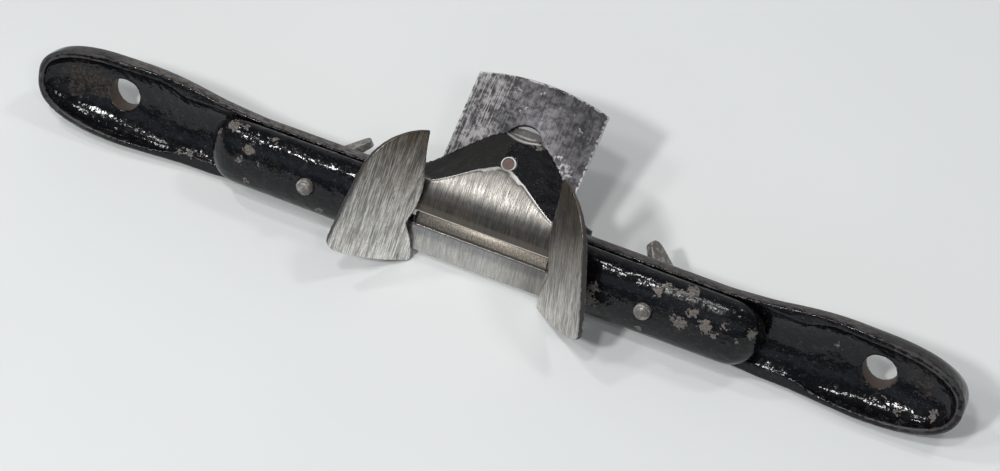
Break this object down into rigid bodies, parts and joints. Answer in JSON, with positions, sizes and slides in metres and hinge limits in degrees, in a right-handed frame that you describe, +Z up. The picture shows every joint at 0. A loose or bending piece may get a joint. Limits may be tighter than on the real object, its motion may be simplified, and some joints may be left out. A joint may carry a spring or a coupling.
{
  "type": "chamfer spokeshave",
  "caption": "Cast iron chamfer spokeshave with dished handles, a clamped cutter and slanting fences that slide on the arms.",
  "frame": {"origin": "centre of the ground outline of the tool as it lies, on the surface it lies on", "axes": "+X along the handles towards the right handle, +Y away from the viewer towards the top of the cutter, +Z up; the sole leans back by 65 degrees"},
  "size_m": [0.2668, 0.0624, 0.0386],
  "materials": {
    "japanned_iron": "glossy black japanning, chipped and worn",
    "ground_iron": "ground bare iron with fine grinding lines",
    "cutter_steel": "dark mottled patina with bright scratches",
    "screw_steel": "aged brown steel"
  },
  "bodies": {
    "body": {"body_casting": "japanned_iron", "cap_iron": "japanned_iron"},
    "cutter": {"cutter": "cutter_steel"},
    "cap_thumb_screw": {"cap_thumb_screw": "screw_steel"},
    "left_fence": {"left_fence": "ground_iron"},
    "right_fence": {"right_fence": "ground_iron"},
    "left_fence_screw": {"left_fence_screw": "screw_steel"},
    "right_fence_screw": {"right_fence_screw": "screw_steel"}
  },
  "joints": [
    {"name": "left_fence_slide", "type": "slide", "parent": "body", "child": "left_fence", "axis": [1, 0, 0], "range_m": [-0.003, 0.016]},
    {"name": "right_fence_slide", "type": "slide", "parent": "body", "child": "right_fence", "axis": [-1, 0, 0], "range_m": [-0.003, 0.016]},
    {"name": "left_fence_screw_turn", "type": "hinge", "parent": "left_fence", "child": "left_fence_screw", "pos_m": [-0.0485, -0.01154, 0.01347], "axis": [0, 0.9063, -0.4226], "range_deg": [0, 360]},
    {"name": "right_fence_screw_turn", "type": "hinge", "parent": "right_fence", "child": "right_fence_screw", "pos_m": [0.0485, -0.01154, 0.01347], "axis": [0, 0.9063, -0.4226], "range_deg": [0, 360]},
    {"name": "cutter_slide", "type": "slide", "parent": "body", "child": "cutter", "axis": [0, 0.9397, 0.342], "range_m": [-0.0003, 0.006]},
    {"name": "cap_thumb_screw_turn", "type": "hinge", "parent": "body", "child": "cap_thumb_screw", "pos_m": [0, 0.00686, 0.01946], "axis": [0, 0.342, -0.9397], "range_deg": [0, 360]}
  ]
}
